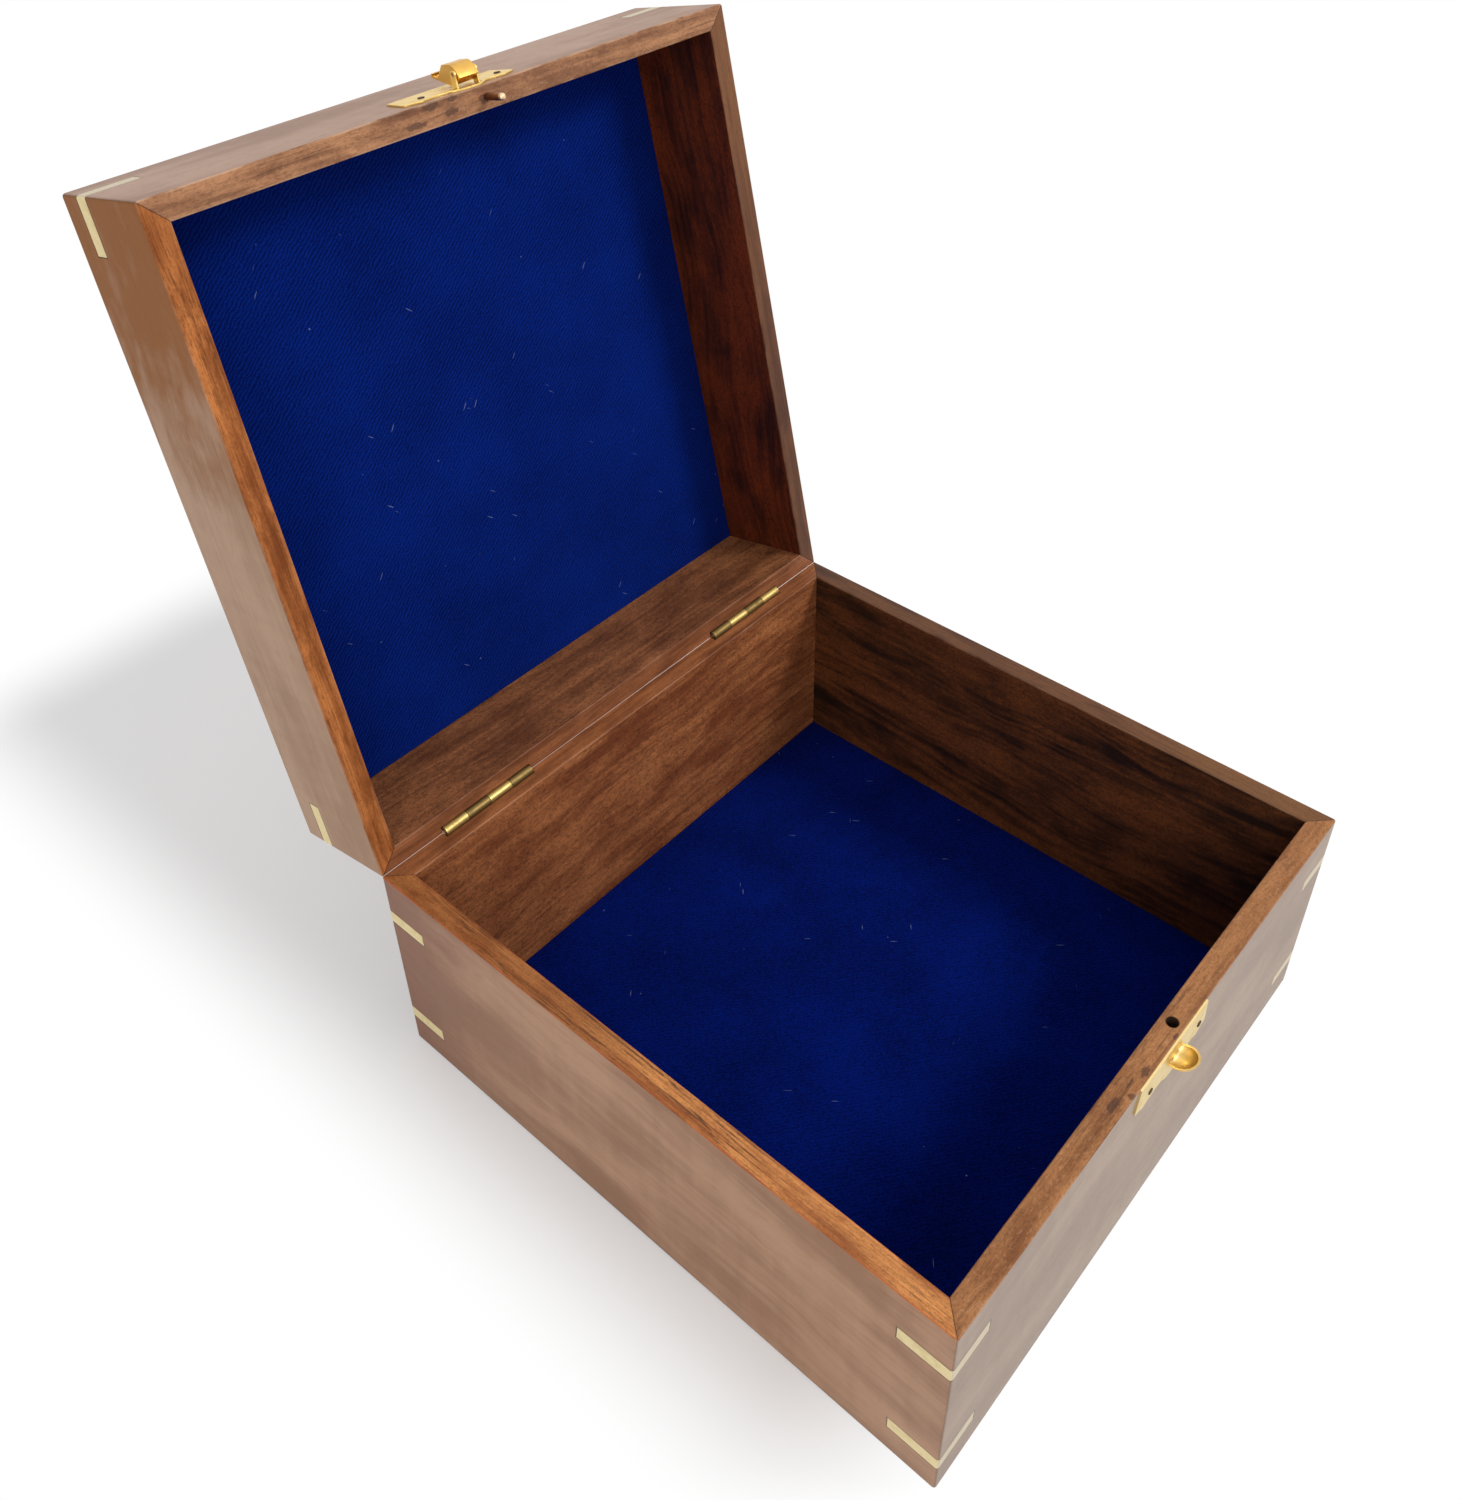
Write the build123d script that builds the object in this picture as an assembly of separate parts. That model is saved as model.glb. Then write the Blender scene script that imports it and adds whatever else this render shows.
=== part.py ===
from build123d import *
import os
from math import cos, hypot, radians, sin

# A square hinged wooden case for an instrument, lined with felt, shown with its lid thrown open.
# Millimetres. X runs along the hinge, Y from the front to the back, Z up from the underside.
# The origin is the middle of the underside. Each piece is made with the case shut, then opened.

# The case
width = 177.8
depth = 177.8
closed_height = 101.6
base_height = 66.8
rim_gap = 0.5
wall = 6.0
corner_round = 0.8
edge_round = 0.5
rim_round = 0.25

# Bottom and top panels, let into a rebate, and the felt glued on them
panel = 2.6
panel_seat = 3.0
panel_clearance = 0.1
felt = 0.8
felt_margin = 0.3

# Brass inlays let in round each corner
inlay_leg = 13.5
inlay_height = 4.0
inlay_thickness = 1.2
inlay_clearance = 0.08
base_inlay_below_rim = 14.8
base_inlay_above_bottom = 12.0
lid_inlay_below_top = 9.3

# Butt hinges, with their leaves in saw kerfs in the back walls
open_angle = 102.0
hinge_inset = 0.5
hinge_length = 30.7
hinge_from_side = 20.3
knuckle_count = 4
knuckle_gap = 0.12
barrel_radius = 1.5
pin_radius = 0.75
pin_clearance = 0.05
leaf_thickness = 0.8
leaf_depth = 11.0
kerf_clearance = 0.05
kerf_end_clearance = 0.4
groove_clearance = 0.2
bevel_clearance = 0.05
hinge_nail_spacing = 18.0
hinge_nail_drop = 7.0
hinge_nail_half = 0.45
hinge_nail_head_radius = 0.9
hinge_nail_head = 0.3
hinge_nail_length = 4.8

# Catch and hasp plates, stamped from one brass sheet with winged ends
latch_offset = 0.0
plate_thickness = 0.5
plate_left = 17.4
plate_right = 14.4
plate_height = 11.2
wing_flare = 1.0
wing_tip_drop = 7.6
wing_tip_round = 0.9
wing_foot_inset = 3.2
wing_foot_drop = 9.9
wing_waist_drop = 9.0
lobe_half = 5.4
lobe_root_drop = 9.4
plate_rim_margin = 0.2
plate_nail_offset = 11.8
plate_nail_drop = 6.2
plate_nail_half = 0.45
plate_nail_head_radius = 0.9
plate_nail_head = 0.25
plate_nail_length = 4.4
nail_clearance = 0.05

# Bill of the catch, a cup pressed out of its plate below two relief slots
bill_reach = 6.1
bill_half_width = 4.0
bill_below_rim = 4.2
bill_tilt = 12.0
bill_depth = 2.6
bill_thickness = 0.5
slot_inner = 1.0
slot_outer = 3.3
slot_width = 1.2
slot_drop = 5.7

# Hasp, a hood folded round its pin, with a lip that hooks under the bill
hasp_rest_angle = 165.0
hasp_width = 5.8
hasp_sheet = 0.5
hasp_pin_reach = 3.7
hasp_pin_above_rim = 2.4
hasp_pin_radius = 0.45
hasp_pin_recess = 0.1
hasp_running_clearance = 0.05
hasp_front = 3.1
hasp_shoulder_drop = 0.6
hasp_crown_reach = 0.3
hasp_crown_height = 2.05
hasp_brow_reach = -2.15
hasp_brow_drop = 1.0
hasp_back_reach = -1.1
hasp_back_drop = 4.6
hasp_bill_clearance = 0.45
hasp_lip_drop = 1.3
hasp_lip_bite = 0.3
ear_thickness = 0.5
ear_radius = 1.05
ear_stem_half = 0.9
ear_side_clearance = 0.1
ear_window = 1.1

# Locating pin in the lid's rim and the hole that takes it in the base's rim
locating_offset = 3.2
locating_pin_radius = 0.9
locating_pin_length = 6.5
locating_pin_embed = 6.0
locating_pin_tip = 0.4
locating_hole_radius = 1.5
locating_hole_depth = 8.5

# Planes and axes that follow from the sizes above
lid_height = closed_height - base_height - rim_gap
lid_rim = base_height + rim_gap
front = -depth / 2
hinge_y = depth / 2 - hinge_inset
hinge_z = base_height + rim_gap / 2
hasp_y = front - hasp_pin_reach
hasp_z = lid_rim + hasp_pin_above_rim
locating_x = latch_offset + locating_offset
locating_y = front + wall / 2
plate_face = front - plate_thickness
cut_margin = 1.0

os.makedirs("parts", exist_ok=True)


def block(x_range, y_range, z_range):
    """A box between two values on each axis."""
    spans = [x_range, y_range, z_range]
    sizes = [high - low for low, high in spans]
    middles = [(high + low) / 2 for low, high in spans]
    return Pos(*middles) * Box(*sizes)


def rod_x(radius, x_range, y, z):
    """A round bar along X."""
    low, high = x_range
    return Pos((low + high) / 2, y, z) * Rot(0, 90, 0) * Cylinder(radius, high - low)


def rod_y(radius, x, y_range, z):
    """A round bar along Y."""
    low, high = y_range
    return Pos(x, (low + high) / 2, z) * Rot(90, 0, 0) * Cylinder(radius, high - low)


def brad(half, x, y_range, z):
    """The square shank of a brad, or its hole, along Y."""
    return block((x - half, x + half), y_range, (z - half, z + half))


def rod_z(radius, x, y, z_range):
    """A round bar along Z."""
    low, high = z_range
    return Pos(x, y, (low + high) / 2) * Cylinder(radius, high - low)


def on_front(profile, x_range):
    """A profile drawn in reach from the front face and height, made into a bar along X."""
    low, high = x_range
    plane = Plane(origin=(high, front, 0), x_dir=(0, -1, 0), z_dir=(-1, 0, 0))
    return extrude(plane * profile, amount=high - low)


def frame_ring(height, thickness):
    """A square frame standing on Z = 0 with its rim up, its outer corners and edges eased."""
    outer = Pos(0, 0, height / 2) * Box(width, depth, height)
    outer = fillet(outer.edges().filter_by(Axis.Z), corner_round)
    inner = Pos(0, 0, height / 2) * Box(width - 2 * thickness, depth - 2 * thickness, height + cut_margin)
    return outer - inner


def panel_rebate():
    """The step round the open foot of a frame that a panel seats in."""
    seat = panel_seat - wall
    return block(
        (-width / 2 - seat, width / 2 + seat),
        (-depth / 2 - seat, depth / 2 + seat),
        (-cut_margin, panel),
    )


def carcass(height):
    """The four walls of the base or the lid before they are parted, standing rim up."""
    ring = frame_ring(height, wall)
    foot = ring.faces().sort_by(Axis.Z)[0].outer_wire().edges()
    ring = chamfer(foot, edge_round)
    rim = ring.faces().sort_by(Axis.Z)[-1].edges()
    ring = chamfer(rim, rim_round)
    return ring - panel_rebate()


def inlay_band(z_middle, extra):
    """A thin band round the whole case at one level, from which the corner inlays are taken."""
    band = frame_ring(inlay_height + 2 * extra, inlay_thickness + extra)
    return Pos(0, 0, z_middle - inlay_height / 2 - extra) * band


def corner_block(side_x, side_y, z_middle, extra):
    """The part of a band that belongs to one corner."""
    reach = inlay_leg + extra
    x_far = side_x * (width / 2 + cut_margin)
    y_far = side_y * (depth / 2 + cut_margin)
    x_near = side_x * (width / 2 - reach)
    y_near = side_y * (depth / 2 - reach)
    half = inlay_height / 2 + extra + cut_margin
    return block(sorted((x_near, x_far)), sorted((y_near, y_far)), (z_middle - half, z_middle + half))


def inlay(side_x, side_y, z_middle, extra=0.0):
    """An L-shaped strip bent round one corner, flush with both faces; extra makes its pocket."""
    return inlay_band(z_middle, extra) & corner_block(side_x, side_y, z_middle, extra)


corners = {"front_left": (-1, -1), "front_right": (1, -1), "back_left": (-1, 1), "back_right": (1, 1)}
base_levels = {"upper": base_height - base_inlay_below_rim, "lower": base_inlay_above_bottom}
lid_level = closed_height - lid_inlay_below_top


def hinge_span(side):
    """The two ends of one hinge's barrel along X; side is -1 for left and 1 for right."""
    outer = width / 2 - hinge_from_side
    inner = outer - hinge_length
    return sorted((side * outer, side * inner))


def knuckle_ranges(side, first):
    """Every second knuckle's range along X, starting with the first or the second from the outside."""
    low, high = hinge_span(side)
    pitch = (high - low) / knuckle_count
    ends = []
    for index in range(first, knuckle_count, 2):
        start = low + index * pitch if side < 0 else high - (index + 1) * pitch
        ends.append((start + knuckle_gap / 2, start + pitch - knuckle_gap / 2))
    return ends


def hinge_leaf(side, upward):
    """A leaf with its knuckles; the lid's leaf stands up from the barrel and the base's hangs down."""
    sign = 1 if upward else -1
    first = 0 if upward else 1
    y_front = hinge_y - barrel_radius
    y_range = (y_front, y_front + leaf_thickness)
    low, high = hinge_span(side)
    near = sign * (barrel_radius + kerf_clearance)
    far = sign * leaf_depth
    leaf = block((low, high), y_range, sorted((hinge_z + near, hinge_z + far)))
    for x_range in knuckle_ranges(side, first):
        leaf += block(x_range, y_range, sorted((hinge_z, hinge_z + near)))
        leaf += rod_x(barrel_radius, x_range, hinge_y, hinge_z)
    leaf -= rod_x(pin_radius + pin_clearance, (low - cut_margin, high + cut_margin), hinge_y, hinge_z)
    for x, z in hinge_nail_places(side, upward):
        leaf -= brad(hinge_nail_half + nail_clearance, x, (hinge_y - 3 * barrel_radius, hinge_y), z)
    return leaf


def hinge_nail_places(side, upward):
    """Where the two nails cross one leaf."""
    low, high = hinge_span(side)
    middle = (low + high) / 2
    z = hinge_z + (hinge_nail_drop if upward else -hinge_nail_drop)
    return [(middle + step * hinge_nail_spacing / 2, z) for step in (-1, 1)]


def hinge_pin(side):
    """The pin through one hinge's knuckles."""
    low, high = hinge_span(side)
    return rod_x(pin_radius, (low, high), hinge_y, hinge_z)


def hinge_nails(upward, extra=0.0):
    """Nails through the back wall and the leaves, heads flush with the back; extra makes their holes."""
    nails = []
    back = depth / 2
    for side in (-1, 1):
        for x, z in hinge_nail_places(side, upward):
            tip = back - hinge_nail_length - extra
            nail = brad(hinge_nail_half + extra, x, (tip, back), z)
            nail += rod_y(hinge_nail_head_radius + extra, x, (back - hinge_nail_head - extra, back), z)
            nails.append(nail)
    return nails


def hinge_recess():
    """Everything cut from the two back walls for the hinges: grooves, kerfs and the stopping bevels."""
    cuts = []
    y_front = hinge_y - barrel_radius
    y_range = (y_front - kerf_clearance, y_front + leaf_thickness + kerf_clearance)
    reach = leaf_depth + kerf_end_clearance
    for side in (-1, 1):
        low, high = hinge_span(side)
        x_range = (low - kerf_end_clearance, high + kerf_end_clearance)
        cuts.append(rod_x(barrel_radius + groove_clearance, x_range, hinge_y, hinge_z))
        cuts.append(block(x_range, y_range, (hinge_z - reach, hinge_z + reach)))
    cuts.extend(back_bevels())
    return cuts


def back_bevels():
    """Bevels through the hinge axis on both back edges; they meet when the lid is fully open."""
    bevels = []
    size = 4 * barrel_radius
    half_angle = open_angle / 2
    for sign in (-1, 1):
        slab = Pos(0, 0, size / 2 - bevel_clearance) * Box(width + 2 * cut_margin, 2 * size, size)
        turn = -half_angle if sign < 0 else half_angle - 180
        bevels.append(Pos(0, hinge_y, hinge_z) * Rot(turn, 0, 0) * slab)
    return bevels


def wing_points(half):
    """The turning points of one wing, from its upper corner round to the root of the lobe."""
    tip = (half + wing_flare, -wing_tip_drop)
    under_tip = (tip[0] - wing_tip_round, tip[1] - wing_tip_round)
    foot = (half - wing_foot_inset, -wing_foot_drop)
    return (half, 0), tip, under_tip, foot, (lobe_half, -lobe_root_drop)


def half_outline(half):
    """Half of the stamped outline, right of X = 0, with its straight edge at Y = 0 and a lobe below."""
    corner, tip, under_tip, foot, root = wing_points(half)
    lobe = (0, -plate_height)
    with BuildSketch() as outline:
        with BuildLine():
            Line((0, 0), corner)
            Line(corner, tip)
            RadiusArc(tip, under_tip, wing_tip_round)
            Line(under_tip, foot)
            ThreePointArc(foot, ((foot[0] + root[0]) / 2, -wing_waist_drop), root)
            sag = (lobe_half * 0.6, -plate_height + 0.18 * (plate_height - lobe_root_drop))
            ThreePointArc(root, sag, lobe)
            Line(lobe, (0, 0))
        make_face()
    return outline.sketch


def plate_outline():
    """The whole stamped outline; its left wing is longer than its right one."""
    return half_outline(plate_right) + mirror(half_outline(plate_left), about=Plane.YZ)


def winged_plate(top_z):
    """A winged plate lying on the front face with its straight edge at the given height."""
    plane = Plane(origin=(latch_offset, front, top_z), x_dir=(1, 0, 0), z_dir=(0, -1, 0))
    plate = extrude(plane * plate_outline(), amount=plate_thickness)
    for x, z in plate_nail_places(top_z):
        reach = (plate_face - cut_margin, front + cut_margin)
        plate -= brad(plate_nail_half + nail_clearance, x, reach, z)
    return plate


def plate_nail_places(top_z):
    """Where the two nails cross a winged plate."""
    z = top_z - plate_nail_drop
    return [(latch_offset + step * plate_nail_offset, z) for step in (-1, 1)]


def plate_nails(top_z):
    """Two brads with low bevelled heads standing on the plate."""
    nails = []
    for x, z in plate_nail_places(top_z):
        shank = brad(plate_nail_half, x, (plate_face, plate_face + plate_nail_length), z)
        head = rod_y(plate_nail_head_radius, x, (plate_face - plate_nail_head, plate_face), z)
        crown = head.edges().filter_by(GeomType.CIRCLE).sort_by(Axis.Y)[0]
        nails.append(shank + chamfer(crown, plate_nail_head / 2))
    return nails


def plate_nail_holes(top_z):
    """Holes in the front wall for a plate's nails."""
    tip = plate_face + plate_nail_length + nail_clearance
    reach = (front - cut_margin, tip)
    return [brad(plate_nail_half + nail_clearance, x, reach, z) for x, z in plate_nail_places(top_z)]


catch_top = base_height - rim_round
hasp_plate_top = lid_rim + plate_rim_margin + plate_height
bill_tip = (bill_reach, base_height - bill_below_rim)
bill_radius = (bill_half_width ** 2 + bill_depth ** 2) / (2 * bill_depth)
tilt_cos = cos(radians(bill_tilt))
tilt_sin = sin(radians(bill_tilt))
bill_mouth = (bill_tip[0] - bill_half_width * tilt_cos, bill_tip[1] - bill_half_width * tilt_sin)
bill_rise = bill_radius - bill_depth
bill_centre = (bill_mouth[0] - bill_rise * tilt_sin, bill_mouth[1] + bill_rise * tilt_cos)


def catch_bill():
    """A round shallow spoon that stands out of the catch plate and points up and away from it."""
    centre = (latch_offset, front - bill_centre[0], bill_centre[1])
    shell = Pos(*centre) * Sphere(bill_radius)
    shell -= Pos(*centre) * Sphere(bill_radius - bill_thickness)
    below = Plane(
        origin=(latch_offset, front - bill_mouth[0], bill_mouth[1]),
        x_dir=(1, 0, 0),
        z_dir=(0, -tilt_sin, -tilt_cos),
    )
    reach = 2 * bill_reach
    spoon = shell & (below * Pos(0, 0, reach / 2) * Box(2 * reach, 2 * reach, reach))
    away = block(
        (latch_offset - reach, latch_offset + reach),
        (front - reach, front - plate_thickness / 2),
        (base_height - 2 * reach, base_height),
    )
    return spoon & away


def catch_plate():
    """The catch plate on the base, its straight edge at the rim, with slots and bill."""
    plate = winged_plate(catch_top)
    slot_z = base_height - slot_drop
    for step in (-1, 1):
        ends = sorted((latch_offset + step * slot_inner, latch_offset + step * slot_outer))
        plate -= block(
            ends,
            (plate_face - cut_margin, front + cut_margin),
            (slot_z - slot_width / 2, slot_z + slot_width / 2),
        )
    return plate + catch_bill()


ear_inner = hasp_width / 2 + ear_side_clearance
ear_outer = ear_inner + ear_thickness


def hasp_plate():
    """The hasp's plate on the lid, with two ears bent out of it and the windows they leave."""
    plate = winged_plate(hasp_plate_top)
    foot_y = front - plate_thickness / 2
    for step in (-1, 1):
        ends = sorted((latch_offset + step * ear_inner, latch_offset + step * ear_outer))
        plate += rod_x(ear_radius, ends, hasp_y, hasp_z)
        plate += block(ends, (hasp_y, foot_y), (hasp_z - ear_stem_half, hasp_z + ear_radius))
        window = sorted((latch_offset + step * ear_outer, latch_offset + step * (ear_outer + ear_window)))
        plate -= block(
            window,
            (plate_face - cut_margin, front + cut_margin),
            (hasp_z - ear_stem_half / 2, hasp_z + ear_radius),
        )
    bore = hasp_pin_radius + hasp_running_clearance
    half = ear_outer + cut_margin
    plate -= rod_x(bore, (latch_offset - half, latch_offset + half), hasp_y, hasp_z)
    return plate


def hasp_pin():
    """The pin through the ears and the hood's cheeks."""
    half = ear_outer - hasp_pin_recess
    return rod_x(hasp_pin_radius, (latch_offset - half, latch_offset + half), hasp_y, hasp_z)


rise = hasp_pin_above_rim + rim_gap
tip_reach = bill_reach - hasp_pin_reach
tip_drop = rise + bill_below_rim
cheek_drop = tip_drop - hasp_bill_clearance
lip_top = tip_drop + hasp_lip_drop
lip_bottom = lip_top + hasp_sheet
lip_end = tip_reach - hasp_lip_bite
hood_back = [
    (hasp_front, -hasp_shoulder_drop),
    (hasp_crown_reach, hasp_crown_height),
    (hasp_brow_reach, -hasp_brow_drop),
    (hasp_back_reach, -hasp_back_drop),
]


def hasp_profile(points):
    """A closed profile in reach and height, measured from the hasp's pin."""
    return Pos(hasp_pin_reach, hasp_z) * make_face(Polyline(*points, close=True))


def inset_points(points, distance):
    """The same open run of points moved inwards by a distance, with mitred turns."""
    moved = []
    for index, (x, z) in enumerate(points):
        before = points[max(index - 1, 0)]
        after = points[min(index + 1, len(points) - 1)]
        runs = [(x - before[0], z - before[1]), (after[0] - x, after[1] - z)]
        normals = [(-dz / hypot(dx, dz), dx / hypot(dx, dz)) for dx, dz in runs if hypot(dx, dz) > 0]
        total = (sum(n[0] for n in normals), sum(n[1] for n in normals))
        scale = distance * len(normals) / (total[0] ** 2 + total[1] ** 2)
        moved.append((x + total[0] * scale, z + total[1] * scale))
    return moved


def hasp_web():
    """The hood's sheet: up the front from the lip, over the pin and down behind it."""
    outer = [(hasp_front, -lip_bottom), *hood_back]
    inner = inset_points(outer, hasp_sheet)
    foot = [(hasp_front - hasp_sheet, -lip_top), (lip_end, -lip_top), (lip_end, -lip_bottom)]
    points = outer + list(reversed(inner[1:])) + foot
    half = hasp_width / 2
    return on_front(hasp_profile(points), (latch_offset - half, latch_offset + half))


def hasp_cheeks():
    """The hood's two cheeks, cut back to clear the bill."""
    bore = hasp_pin_radius + hasp_running_clearance
    points = [(hasp_front, -cheek_drop), *hood_back]
    cheeks = []
    for step in (-1, 1):
        outer = latch_offset + step * hasp_width / 2
        ends = sorted((outer, outer - step * hasp_sheet))
        cheek = on_front(hasp_profile(points), ends)
        long_ends = (ends[0] - cut_margin, ends[1] + cut_margin)
        cheeks.append(cheek - rod_x(bore, long_ends, hasp_y, hasp_z))
    return cheeks


def hasp_flap():
    """The swinging hood, hanging over the bill as when the case is shut."""
    flap = hasp_web()
    for cheek in hasp_cheeks():
        flap += cheek
    return flap


def locating_pin():
    """A pin standing out of the lid's rim beside the latch."""
    z_range = (lid_rim - locating_pin_length, lid_rim + locating_pin_embed)
    pin = rod_z(locating_pin_radius, locating_x, locating_y, z_range)
    tip = pin.edges().filter_by(GeomType.CIRCLE).sort_by(Axis.Z)[0]
    return chamfer(tip, locating_pin_tip)


def locating_holes():
    """The hole in the base's rim, and the one that the pin is driven into."""
    z_low = base_height - locating_hole_depth
    z_high = lid_rim + locating_pin_embed + nail_clearance
    take = rod_z(locating_hole_radius, locating_x, locating_y, (z_low, base_height + cut_margin))
    hold = rod_z(locating_pin_radius + nail_clearance, locating_x, locating_y, (lid_rim - cut_margin, z_high))
    return take, hold


def base_carcass():
    """The base's walls in one piece, with every cut that they carry."""
    body = carcass(base_height)
    for side_x, side_y in corners.values():
        for z_middle in base_levels.values():
            body -= inlay(side_x, side_y, z_middle, inlay_clearance)
    for cut in hinge_recess():
        body -= cut
    for hole in hinge_nails(False, nail_clearance) + plate_nail_holes(catch_top):
        body -= hole
    return body - locating_holes()[0]


def lid_carcass():
    """The lid's walls in one piece, rim down, with every cut that they carry."""
    body = Pos(0, 0, closed_height) * Rot(180, 0, 0) * carcass(lid_height)
    for side_x, side_y in corners.values():
        body -= inlay(side_x, side_y, lid_level, inlay_clearance)
    for cut in hinge_recess():
        body -= cut
    for hole in hinge_nails(True, nail_clearance) + plate_nail_holes(hasp_plate_top):
        body -= hole
    return body - locating_holes()[1]


def mitre_wedge(side):
    """A prism between the mitre lines of one wall, a little wider than the wall's thickness."""
    far = cut_margin
    near = wall + cut_margin
    half_x = width / 2
    half_y = depth / 2
    if side in ("front", "back"):
        sign = -1 if side == "front" else 1
        points = [
            (-half_x - far, sign * (half_y + far)),
            (half_x + far, sign * (half_y + far)),
            (half_x - near, sign * (half_y - near)),
            (-half_x + near, sign * (half_y - near)),
        ]
    else:
        sign = -1 if side == "left" else 1
        points = [
            (sign * (half_x + far), -half_y - far),
            (sign * (half_x + far), half_y + far),
            (sign * (half_x - near), half_y - near),
            (sign * (half_x - near), -half_y + near),
        ]
    face = make_face(Polyline(*points, close=True))
    wedge = extrude(Pos(0, 0, -cut_margin) * face, amount=closed_height + 2 * cut_margin)
    low = wedge.bounding_box().min.Z
    return wedge if low > -2 * cut_margin else Pos(0, 0, closed_height) * wedge


def wall_of(body, side):
    """One mitred wall of a carcass."""
    return body & mitre_wedge(side)


def panel_plate(z_range):
    """A panel that seats in the rebate."""
    seat = wall - panel_seat + panel_clearance
    return block(
        (-width / 2 + seat, width / 2 - seat),
        (-depth / 2 + seat, depth / 2 - seat),
        z_range,
    )


def felt_sheet(z_range):
    """A felt lining as large as the inside, less a small margin."""
    inset = wall + felt_margin
    return block(
        (-width / 2 + inset, width / 2 - inset),
        (-depth / 2 + inset, depth / 2 - inset),
        z_range,
    )


def base_pieces():
    """Every piece that stays with the base."""
    body = base_carcass()
    pieces = {f"base_{side}_wall": wall_of(body, side) for side in ("front", "back", "left", "right")}
    pieces["base_bottom_panel"] = panel_plate((0, panel))
    pieces["base_felt_lining"] = felt_sheet((panel, panel + felt))
    for name, (side_x, side_y) in corners.items():
        for level, z_middle in base_levels.items():
            pieces[f"base_inlay_{name}_{level}"] = inlay(side_x, side_y, z_middle)
    for name, side in (("left", -1), ("right", 1)):
        pieces[f"base_hinge_leaf_{name}"] = hinge_leaf(side, False)
        pieces[f"hinge_pin_{name}"] = hinge_pin(side)
    pieces["base_hinge_nails"] = Compound(children=hinge_nails(False))
    pieces["catch_plate"] = catch_plate()
    pieces["catch_plate_nails"] = Compound(children=plate_nails(catch_top))
    return pieces


def lid_pieces():
    """Every piece that swings with the lid, as it lies when the case is shut."""
    body = lid_carcass()
    pieces = {f"lid_{side}_wall": wall_of(body, side) for side in ("front", "back", "left", "right")}
    pieces["lid_top_panel"] = panel_plate((closed_height - panel, closed_height))
    pieces["lid_felt_lining"] = felt_sheet((closed_height - panel - felt, closed_height - panel))
    for name, (side_x, side_y) in corners.items():
        pieces[f"lid_inlay_{name}"] = inlay(side_x, side_y, lid_level)
    for name, side in (("left", -1), ("right", 1)):
        pieces[f"lid_hinge_leaf_{name}"] = hinge_leaf(side, True)
    pieces["lid_hinge_nails"] = Compound(children=hinge_nails(True))
    pieces["hasp_plate"] = hasp_plate()
    pieces["hasp_plate_nails"] = Compound(children=plate_nails(hasp_plate_top))
    pieces["hasp_pin"] = hasp_pin()
    pieces["locating_pin"] = locating_pin()
    return pieces


def turned(shape, y, z, angle):
    """A shape turned about an axis along X through the given point."""
    return Pos(0, y, z) * Rot(angle, 0, 0) * Pos(0, -y, -z) * shape


def main():
    for name, shape in base_pieces().items():
        export_step(shape, f"parts/{name}.step")
    for name, shape in lid_pieces().items():
        export_step(turned(shape, hinge_y, hinge_z, -open_angle), f"parts/{name}.step")
    flap = turned(hasp_flap(), hasp_y, hasp_z, -hasp_rest_angle)
    export_step(turned(flap, hinge_y, hinge_z, -open_angle), "parts/hasp_flap.step")


main()
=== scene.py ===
import bpy
import bmesh
from collections import namedtuple
from math import cos, pi, radians, sin
from mathutils import Matrix, Vector, noise


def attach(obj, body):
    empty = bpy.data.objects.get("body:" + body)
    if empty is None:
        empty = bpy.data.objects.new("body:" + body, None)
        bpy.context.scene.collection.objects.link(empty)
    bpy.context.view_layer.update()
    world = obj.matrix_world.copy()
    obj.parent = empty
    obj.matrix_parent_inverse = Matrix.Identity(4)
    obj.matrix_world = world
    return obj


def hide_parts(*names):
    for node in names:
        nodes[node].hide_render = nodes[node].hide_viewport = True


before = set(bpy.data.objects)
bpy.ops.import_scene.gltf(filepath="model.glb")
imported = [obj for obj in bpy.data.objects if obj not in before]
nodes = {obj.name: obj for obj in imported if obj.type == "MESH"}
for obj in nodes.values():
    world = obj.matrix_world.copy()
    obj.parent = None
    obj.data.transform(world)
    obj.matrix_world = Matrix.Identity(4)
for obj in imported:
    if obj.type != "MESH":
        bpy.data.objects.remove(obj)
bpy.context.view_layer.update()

# The case, in metres
HALF = 0.0889
WALL = 0.006
RIM = 0.0668
LID_TOP = 0.1016
RIM_ROUND = 0.00025
CORNER_ROUND = 0.0008
CORNER_FACETS = 12
PANEL = 0.0026
FELT = 0.0008
FELT_MARGIN = 0.0003
FELT_HALF = HALF - WALL - FELT_MARGIN

# The hinges, in metres: the axis in Y and Z, then each hinge's seats in the back boards
HINGE = (0.0884, 0.06705)
AXIS = Vector((0, *HINGE))
OPEN = radians(102)
HINGE_MIDDLE = 0.05325
SEAT_LONG = 0.03152
BARREL_GROOVE = 0.00172
KERF_WIDE = 0.00092
KERF_TALL = 0.02282
KERF_FROM_MIDDLE = 0.0873
BRAD_HEAD = 0.00092
BRAD_HOLE = 0.0006
BRAD_HOLE_MIDDLE = 0.08888
BRAD_STEPS = (-0.009, 0.009)
BRAD_DROPS = (-0.007, 0.007)

# Wood let in along a back edge, in metres: its block, the play at the stopping bevel, how far it
# bites into the board, and how far it reaches from the hinge's axis
EDGE_DEEP = 0.0049
EDGE_TALL = 0.009
EDGE_SLACK = 0.00005
EDGE_BITE = 0.0002
EDGE_REACH = 0.00615

# Merging of a mesh's double points, in metres, and of faces that lie in one plane
DOUBLE = 0.000004
SLIVER = 0.000002
FLAT = radians(0.6)

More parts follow.
